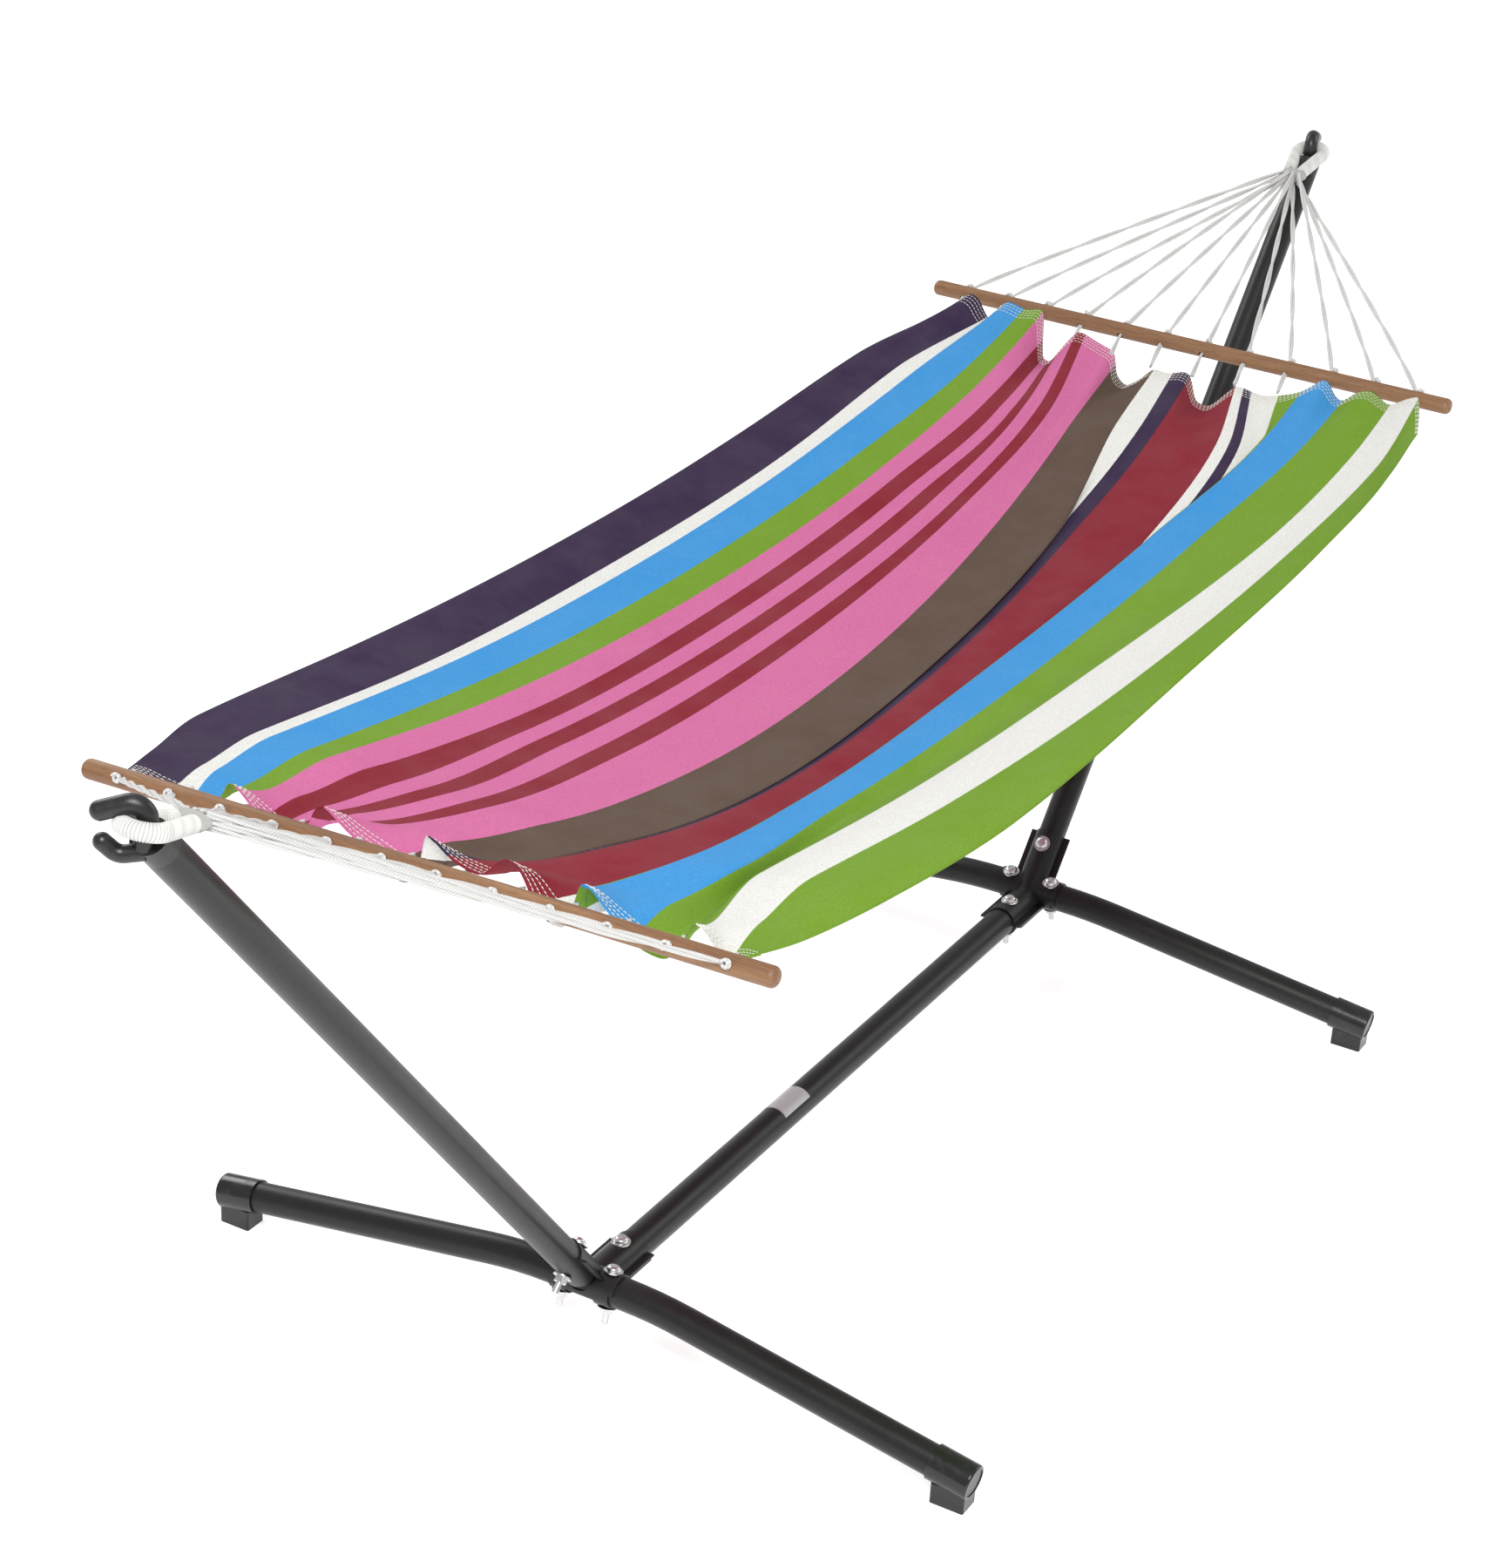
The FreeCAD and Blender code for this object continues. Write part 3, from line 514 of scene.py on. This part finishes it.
STATIONS = [
    (-1.0, LEFT_HEM), (-0.91, LEFT_NINTH), (-0.78, LEFT_EIGHTH), (-0.5, LEFT_QUARTER), (0.0, MIDDLE),
    (0.5, RIGHT_QUARTER), (0.78, RIGHT_EIGHTH), (1.0, RIGHT_HEM),
]

ACROSS_STEP = 4.0
ALONG_STEP = 8.0
ROUNDING = 7.0
ROUNDING_REACH = 24.0
HEM_CROWDING = 1.25
SHEET_LENGTH = 1860.0
SHEET_THICKNESS = 0.0011
HEM_WIDTH = 26.0
HEM_FOLD = 0.004
HEM_DEPTH_AT_FOLD, HEM_DEPTH = 0.0012, 0.0022


def section_curve(rows, column, across):
    """One column of a section, read at every distance across the cloth and rounded off."""
    rows = np.array([row if len(row) == 4 else (*row, np.nan) for row in rows], dtype=float)
    values = np.interp(across, rows[:, 0], rows[:, column])
    reach = int(round(ROUNDING_REACH / ACROSS_STEP))
    weights = np.exp(-0.5 * (np.arange(-reach, reach + 1) * ACROSS_STEP / ROUNDING) ** 2)
    weights /= weights.sum()
    padded = np.concatenate([2 * values[0] - values[reach:0:-1], values,
                             2 * values[-1] - values[-2:-reach - 2:-1]])
    return np.convolve(padded, weights, mode="valid")


def between_stations(values, u):
    """Smooth interpolation along the bed through one value per station."""
    knots = np.array([station for station, _ in STATIONS])
    slopes = np.zeros_like(values)
    for k in range(1, len(knots) - 1):
        slopes[k] = (values[k + 1] - values[k - 1]) / (knots[k + 1] - knots[k - 1])
    slopes[0] = (values[1] - values[0]) / (knots[1] - knots[0])
    slopes[-1] = (values[-1] - values[-2]) / (knots[-1] - knots[-2])
    k = int(np.clip(np.searchsorted(knots, u) - 1, 0, len(knots) - 2))
    span = knots[k + 1] - knots[k]
    s = (u - knots[k]) / span
    return ((2 * s ** 3 - 3 * s ** 2 + 1) * values[k] + (s ** 3 - 2 * s ** 2 + s) * span * slopes[k]
            + (3 * s ** 2 - 2 * s ** 3) * values[k + 1] + (s ** 3 - s ** 2) * span * slopes[k + 1])


def pleat_between(values, u):
    """Heights die out quickly away from the hems, so they are eased more steeply there."""
    knots = np.array([station for station, _ in STATIONS])
    k = int(np.clip(np.searchsorted(knots, u) - 1, 0, len(knots) - 2))
    s = (u - knots[k]) / (knots[k + 1] - knots[k])
    if k == 0:
        weight = 1 - (1 - s) ** 1.6
    elif k == len(knots) - 2:
        weight = s ** 1.35
    else:
        weight = s * s * (3 - 2 * s)
    return values[k] * (1 - weight) + values[k + 1] * weight


def ripples(across, along_mm, u):
    """Fine creases that run from the hems into the bed and shallow waves over all of it."""
    near = np.minimum(along_mm, SHEET_LENGTH - along_mm)
    rng = np.random.default_rng(7 if u < 0 else 11)
    height = np.zeros_like(across)
    for _ in range(26):
        centre = rng.uniform(20, CLOTH_WIDTH - 20)
        width = rng.uniform(5, 14)
        length = rng.uniform(70, 330)
        drift = rng.uniform(-0.10, 0.10)
        size = rng.uniform(-2.4, 2.4)
        crest = np.exp(-0.5 * ((across - centre - drift * near) / width) ** 2)
        height += size * crest * np.exp(-near / length)
    for wave in range(9):
        phase, pitch = wave * 1.7, 70.0 + 31.0 * wave
        height += 0.5 * np.sin(across / pitch * 2 * math.pi + along_mm / (240.0 + 60 * wave) + phase)
    return height


def bed_surface():
    """Points of the sheet's upper face: rows along the bed, columns across the cloth."""
    across = np.arange(0.0, CLOTH_WIDTH + 0.1, ACROSS_STEP)
    rows = int(round(SHEET_LENGTH / ALONG_STEP)) + 1
    ys = np.array([section_curve(rows_, 1, across) for _, rows_ in STATIONS])
    zs = np.array([section_curve(rows_, 2, across) for _, rows_ in STATIONS])
    gaps = {"left": section_curve(LEFT_HEM, 3, across), "right": section_curve(RIGHT_HEM, 3, across)}
    # Rows crowd together towards the hems, where the folds are tight.
    even = np.linspace(-1.0, 1.0, rows)
    stations = np.sign(even) * (1 - (1 - np.abs(even)) ** HEM_CROWDING)
    grid = np.zeros((rows, len(across), 3))
    for i, u in enumerate(stations):
        y = between_stations(ys, u)
        dz = pleat_between(zs, u)
        blend = (1 + u) / 2
        half = HALF_WIDTH_AT_BAR + EXTRA_HALF_WIDTH * (1 - abs(u) ** WIDENING)
        v = np.clip((y - REARWARD_SHIFT * (1 - u * u)) / half, -1.05, 1.05)
        ends = {}
        for side, sign in SIDES.items():
            skew = math.tan(BAR_SKEW[side]) * y
            ends[side] = sign * (BAR_X / MM + skew - gaps[side])
        x = ends["left"] * (1 - blend) + ends["right"] * blend
        level = (BAR_Z["left"] * (1 - blend) + BAR_Z["right"] * blend) / MM
        sag = EDGE_SAG["front"] + (EDGE_SAG["rear"] - EDGE_SAG["front"]) * (1 + v) / 2
        trough = TROUGH * (1 - np.clip(v * v, 0, 1))
        z = level - (sag + trough) * (1 - u * u) + dz
        z = z + ripples(across, (1 + u) / 2 * SHEET_LENGTH, u) * min(1.0, (1 - abs(u)) * 12 + 0.25)
        grid[i] = np.stack([x, y, z], axis=1)
    lengths = (1 + stations) / 2 * SHEET_LENGTH
    return grid * MM, across * MM, lengths * MM


def surface_normals(grid):
    along = np.gradient(grid, axis=0)
    across = np.gradient(grid, axis=1)
    normal = np.cross(across, along)
    normal /= np.linalg.norm(normal, axis=2)[:, :, None] + 1e-12
    if normal[..., 2].mean() < 0:
        normal = -normal
    return normal


def hem_rows(grid, normal, lengths, first):
    """Rows of the turned-under hem, from its inner edge back out to the fold."""
    order = range(0, len(lengths)) if first else range(len(lengths) - 1, -1, -1)
    rows = []
    for i in order:
        distance = abs(lengths[i] - lengths[0 if first else -1])
        if distance > HEM_WIDTH * MM:
            break
        rows.append((i, HEM_DEPTH if distance > HEM_FOLD else HEM_DEPTH_AT_FOLD))
    return [grid[i] - normal[i] * depth for i, depth in rows][::-1], [lengths[i] for i, _ in rows][::-1]


def build_bed(material):
    grid, across, lengths = bed_surface()
    normal = surface_normals(grid)
    start_rows, start_lengths = hem_rows(grid, normal, lengths, True)
    end_rows, end_lengths = hem_rows(grid, normal, lengths, False)
    points = np.array(start_rows + list(grid) + end_rows[::-1])
    along = np.array(start_lengths + list(lengths) + end_lengths[::-1])
    rows, columns = points.shape[:2]
    uvs = np.stack(np.meshgrid(along, across, indexing="ij"), axis=2).reshape(-1, 2)
    bed = smooth_object("Striped_bed", points.reshape(-1, 3), grid_faces(rows, columns), uvs, "Cloth")
    thick = bed.modifiers.new("Cloth thickness", "SOLIDIFY")
    thick.thickness = SHEET_THICKNESS
    thick.offset = -1.0
    bed.data.materials.append(material)
    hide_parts("hammock_fabric")
    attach(bed, "hammock")
    return grid, normal, lengths


def build_stitching(grid, normal, lengths, material):
    """Rows of lockstitch along both hems, each stitch a short raised thread."""
    parts = []
    stitch, gap, margin = 0.0042, 0.0014, 0.003
    rows_in_from_fold = (0.0045, 0.0100, 0.0160, 0.0225)
    for at_start in (True, False):
        for inset in rows_in_from_fold:
            target = inset if at_start else lengths[-1] - inset
            i = int(np.searchsorted(lengths, target))
            share = (target - lengths[i - 1]) / (lengths[i] - lengths[i - 1])
            line = grid[i - 1] * (1 - share) + grid[i] * share
            up = normal[i - 1] * (1 - share) + normal[i] * share
            steps = np.linalg.norm(np.diff(line, axis=0), axis=1)
            run = np.concatenate([[0.0], np.cumsum(steps)])
            begin = margin
            while begin + stitch < run[-1] - margin:
                spots = np.array([begin, begin + stitch * 0.5, begin + stitch])
                centre = np.stack([np.interp(spots, run, line[:, k]) for k in range(3)], axis=1)
                lift = np.stack([np.interp(spots, run, up[:, k]) for k in range(3)], axis=1)
                rise = np.array([0.0001, 0.0005, 0.0001])[:, None]
                parts.append(tube(centre + lift * rise, [0.0004, 0.00055, 0.0004], 5))
                begin += stitch + gap
    verts, faces = merged(parts)
    piece = smooth_object("Hem_stitching", verts, faces)
    piece.data.materials.append(material)
    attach(piece, "hammock")


# ---------------------------------------------------------------------------------------------
# Cords, loops and gathers
# ---------------------------------------------------------------------------------------------


def fabric_end(side, v):
    """The middle of the model's fabric edge, where its cords end."""
    middle = 1 - v * v
    gap = 0.012 + (0.046 - 0.012) * middle
    drop = 0.020 * middle
    y = v * 0.358
    skew = math.tan(BAR_SKEW[side]) * y
    x = SIDES[side] * (BAR_X + skew - BAR_DIA / 2 - gap)
    return np.array([x, y, BAR_Z[side] - drop - 0.002])


def cord_route(side, k):
    """The route of one cord, as in the model: gather, hole's outer mouth, inner mouth, hem."""
    column = k // 3 - 1.5
    layer = k % 3 - 1
    start = gather(side) + np.array([-SIDES[side] * 0.008, column * 0.0076, layer * 0.0064])
    middle = bar_point(side, hole_offset(k))
    outer = middle + hole_axis(side) * (BAR_DIA / 2 + 0.011)
    inner = middle - hole_axis(side) * (BAR_DIA / 2 + 0.006)
    v = (middle[1] - BAR_Y[side]) / 0.358
    return [start, outer, inner, fabric_end(side, v)]


def smooth_route(name, points):
    """The points of the smooth line that a NURBS spline makes of a cord's route."""
    curve = bpy.data.curves.new(name, "CURVE")
    curve.dimensions = "3D"
    spline = curve.splines.new("NURBS")
    spline.points.add(len(points) - 1)
    for point, place in zip(spline.points, points):
        point.co = (*place, 1.0)
    spline.order_u = 3
    spline.use_endpoint_u = True
    spline.resolution_u = 24
    holder = bpy.data.objects.new(name, curve)
    mesh = bpy.data.meshes.new_from_object(holder)
    line = [tuple(vertex.co) for vertex in mesh.vertices]
    bpy.data.objects.remove(holder)
    bpy.data.curves.remove(curve)
    bpy.data.meshes.remove(mesh)
    return line


def build_cord(side, k, material):
    """One suspension cord: two soft strands laid side by side that turn slowly round each other."""
    name = f"{side}_strands_{k + 1:02d}"
    route = cord_route(side, k)
    line = smooth_route(name, route)
    points, along = resample(line, 0.004)
    _, normals, sides = frames_along(points)
    turn = along / 0.16 * 2 * math.pi + k * 1.3
    strand_r, apart = 0.0019, 0.00165
    parts, uvs = [], []
    for hand in (0.0, math.pi):
        offset = normals * np.cos(turn + hand)[:, None] + sides * np.sin(turn + hand)[:, None]
        strand = points + offset * apart
        around = 8
        verts, faces = tube(strand, [strand_r] * len(strand), around)
        parts.append((verts, faces))
        ring = np.stack(np.meshgrid(along, np.arange(around) / around, indexing="ij"), axis=2)
        uvs.append(np.vstack([ring.reshape(-1, 2), [[0.0, 0.0], [along[-1], 0.0]]]))
    verts, faces = merged(parts)
    cord = smooth_object(name, verts, faces, np.vstack(uvs))
    cord.data.materials.append(material)
    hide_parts(f"{side}_cord_{k + 1:02d}")
    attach(cord, "hammock")


def build_hitches(side, material):
    """Where each cord enters the bar, the half hitch that stops it: two turns round the cord."""
    parts = []
    points, turn_count = 44, 2
    proud, spread, thickness = 0.0012, 0.0062, 0.0017
    for k in range(HOLES):
        axis = hole_axis(side)
        ahead = np.array([0.0, 1.0, 0.0])
        above = np.cross(axis, ahead)
        mouth = bar_point(side, hole_offset(k)) + axis * (BAR_DIA / 2 + proud)
        turns = np.linspace(0.0, turn_count * 2 * math.pi, points) + k * 1.7
        share = np.linspace(0.0, 1.0, points)
        reach = 0.0036 + 0.0005 * np.sin(turns * 0.5 + k)
        line = [mouth + axis * (spread * t) + ahead * (r * math.cos(a)) + above * (r * math.sin(a))
                for t, a, r in zip(share, turns, reach)]
        parts.append(tube(np.array(line), [thickness] * len(line), 8))
    verts, faces = merged(parts)
    # The map only has to vary along the pieces, to shade the cotton's lay.
    uvs = np.zeros((len(verts), 2))
    uvs[:, 0] = np.arange(len(verts)) * 0.0001
    piece = smooth_object(f"{side}_bar_hitches", verts, faces, uvs)
    piece.data.materials.append(material)
    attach(piece, "hammock")


def loop_line(side):
    """The centre line of the bight of rope round a hook's neck, from gather to gather."""
    half_gap = ROPE_R + 0.0003
    far = math.hypot(REACH, half_gap)
    lean = math.acos(LOOP_R / far) + math.atan2(half_gap, REACH)
    along, across = pull(side), np.array([0.0, 1.0, 0.0])
    angles = np.linspace(lean, 2 * math.pi - lean, 60)
    arc = [seat(side) + along * (LOOP_R * math.cos(a)) + across * (LOOP_R * math.sin(a)) for a in angles]
    first = gather(side) + across * half_gap - along * 0.0095
    last = gather(side) - across * half_gap - along * 0.0095
    return np.array([first] + arc + [last])


def build_loop(side, material):
    """The rope loop, served over with turn upon turn of white twine."""
    points, along = resample(loop_line(side), 0.0004)
    around = 36
    pitch = 0.0027
    angles = np.linspace(0.0, 2 * math.pi, around, endpoint=False)
    turn = along[:, None] / pitch + angles[None, :] / (2 * math.pi)
    wobble = 0.12 * np.sin(along[:, None] * 310.0 + 2.0 * np.sin(angles)[None, :])
    ridge = np.abs(np.sin(math.pi * (turn + wobble)))
    radii = ROPE_R - 0.0010 + 0.0011 * ridge ** 0.6
    verts, faces = tube(points, radii, around)
    ring = np.stack(np.meshgrid(along, angles, indexing="ij"), axis=2).reshape(-1, 2)
    loop = smooth_object(f"{side}_served_loop", verts, faces,
                         np.vstack([ring, [[0.0, 0.0], [along[-1], 0.0]]]))
    loop.data.materials.append(material)
    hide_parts(f"{side}_hanging_loop")
    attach(loop, "stand")


def build_gather(side, material):
    """The flat whipping where the rope's two parts become twelve cords."""
    centre = gather(side)
    rows, around = 44, 56
    angles = np.linspace(0.0, 2 * math.pi, around, endpoint=False)
    verts = []
    for i in range(rows):
        share = i / (rows - 1)
        bulge = 1.0 + 0.05 * math.sin(math.pi * share) - 0.10 * (2 * share - 1) ** 8
        ridge = 0.0007 * np.abs(np.sin(math.pi * (share * 6 + angles / (2 * math.pi))))
        waist = 1.0 + 0.06 * np.cos(2 * angles)
        y = (0.0175 * bulge + ridge) * np.cos(angles) * waist
        z = (0.0080 * bulge + ridge) * np.sin(angles) * waist
        x = np.full(around, (share - 0.5) * 0.0158)
        verts.append(np.stack([x, y, z], axis=1))
    verts = np.array(verts).reshape(-1, 3)
    faces = grid_faces(rows, around, wrap=True)
    verts = np.vstack([verts, [[-0.0079, 0, 0], [0.0079, 0, 0]]])
    last = (rows - 1) * around
    for j in range(around):
        k = (j + 1) % around
        faces.append((len(verts) - 2, k, j))
        faces.append((len(verts) - 1, last + j, last + k))
    piece = smooth_object(f"{side}_gather_whipping", verts + centre, faces)
    piece.data.materials.append(material)
    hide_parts(f"{side}_cord_gather")
    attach(piece, "hammock")


# ---------------------------------------------------------------------------------------------
# Trim, stage, light and camera
# ---------------------------------------------------------------------------------------------


def build_label(material):
    """A blank label wrapped over the top of the base beam."""
    radius, half_width = 0.0203, 0.031
    middle_x, beam_z = -0.12, 0.084
    first_angle, sweep, lean = -62, 124, 8
    rows, columns = 24, 18
    verts = []
    for i in range(rows):
        angle = math.radians(first_angle + sweep * i / (rows - 1)) - math.radians(lean)
        for j in range(columns):
            x = middle_x + half_width * (2 * j / (columns - 1) - 1)
            verts.append((x, -radius * math.sin(angle), beam_z + radius * math.cos(angle)))
    label = smooth_object("Beam_label", verts, grid_faces(rows, columns))
    thick = label.modifiers.new("Film", "SOLIDIFY")
    thick.thickness = 0.0003
    thick.offset = 1.0
    label.data.materials.append(material)
    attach(label, "stand")


def build_floor():
    """A pale floor that also gives off some light of its own, which keeps it white."""
    mesh = bpy.data.meshes.new("Floor")
    size = 30.0
    corners = [(-size, -size, 0), (size, -size, 0), (size, size, 0), (-size, size, 0)]
    mesh.from_pydata(corners, [], [(0, 1, 2, 3)])
    floor = bpy.data.objects.new("Floor", mesh)
    bpy.context.scene.collection.objects.link(floor)
    n = Nodes("Pale floor")
    dust = n.noise(n.place(), 3.0, 3.0)
    tone = n.mix(n.spread(dust, 0.3, 0.7), (0.86, 0.86, 0.86), (0.88, 0.88, 0.88))
    floor.data.materials.append(n.surface(tone, 0.9, Specular_IOR_Level=0.1, Emission_Strength=0.55,
                                          Emission_Color=(1.0, 1.0, 1.0, 1.0)))


def add_area(name, place, aim, size, power):
    light = bpy.data.lights.new(name, "AREA")
    light.shape = "RECTANGLE"
    light.size, light.size_y = size
    light.energy = power
    lamp = bpy.data.objects.new(name, light)
    bpy.context.scene.collection.objects.link(lamp)
    lamp.location = place
    lamp.rotation_euler = (Vector(aim) - Vector(place)).to_track_quat("-Z", "Y").to_euler()


def build_light():
    world = bpy.data.worlds.new("Studio")
    bpy.context.scene.world = world
    world.use_nodes = True
    background = world.node_tree.nodes["Background"]
    background.inputs["Color"].default_value = (1.0, 1.0, 1.0, 1.0)
    background.inputs["Strength"].default_value = 0.58
    add_area("Key", (-3.4, -1.6, 4.4), (0, 0, 0.6), (1.8, 1.8), 205)
    add_area("Fill", (3.4, -2.6, 2.6), (0, 0, 0.5), (2.0, 2.0), 30)
    add_area("Back", (1.5, 4.2, 3.6), (0, 0, 0.7), (3.0, 1.5), 90)
    scene = bpy.context.scene
    scene.view_settings.view_transform = "Standard"
    scene.view_settings.look = "None"


def build_camera():
    """A long lens above the left end, looking along the hammock, with no shift."""
    yaw, pitch, roll = 0.4996, -0.4579, -0.0584
    forward = np.array([math.cos(pitch) * math.cos(yaw), math.cos(pitch) * math.sin(yaw), math.sin(pitch)])
    right = np.cross(forward, (0.0, 0.0, 1.0))
    right /= np.linalg.norm(right)
    down = np.cross(forward, right)
    across = math.cos(roll) * right + math.sin(roll) * down
    below = -math.sin(roll) * right + math.cos(roll) * down
    camera = bpy.data.cameras.new("Camera")
    camera.sensor_fit = "AUTO"
    camera.sensor_width = 36.0
    camera.lens = 78.74
    camera.clip_end = 100.0
    holder = bpy.data.objects.new("Camera", camera)
    bpy.context.scene.collection.objects.link(holder)
    turn = Matrix((tuple(across), tuple(-below), tuple(-forward))).transposed()
    holder.matrix_world = Matrix.Translation((-3.4007, -1.7033, 2.3609)) @ turn.to_4x4()
    bpy.context.scene.camera = holder


def main():
    build_camera()
    rope = cotton("Served rope", (0.64, 0.635, 0.61), lay=0.0027, across=0.16)
    cord = cotton("Suspension cord", (0.62, 0.615, 0.60))
    finish_stand()
    for side in SIDES:
        for k in range(HOLES):
            build_cord(side, k, cord)
        build_loop(side, rope)
        build_gather(side, rope)
        build_hitches(side, cord)
    grid, normal, lengths = build_bed(canvas("Striped canvas"))
    build_stitching(grid, normal, lengths, thread("Hem thread", (0.78, 0.77, 0.70)))
    build_label(paper_label("Blank label"))
    build_floor()
    build_light()


main()
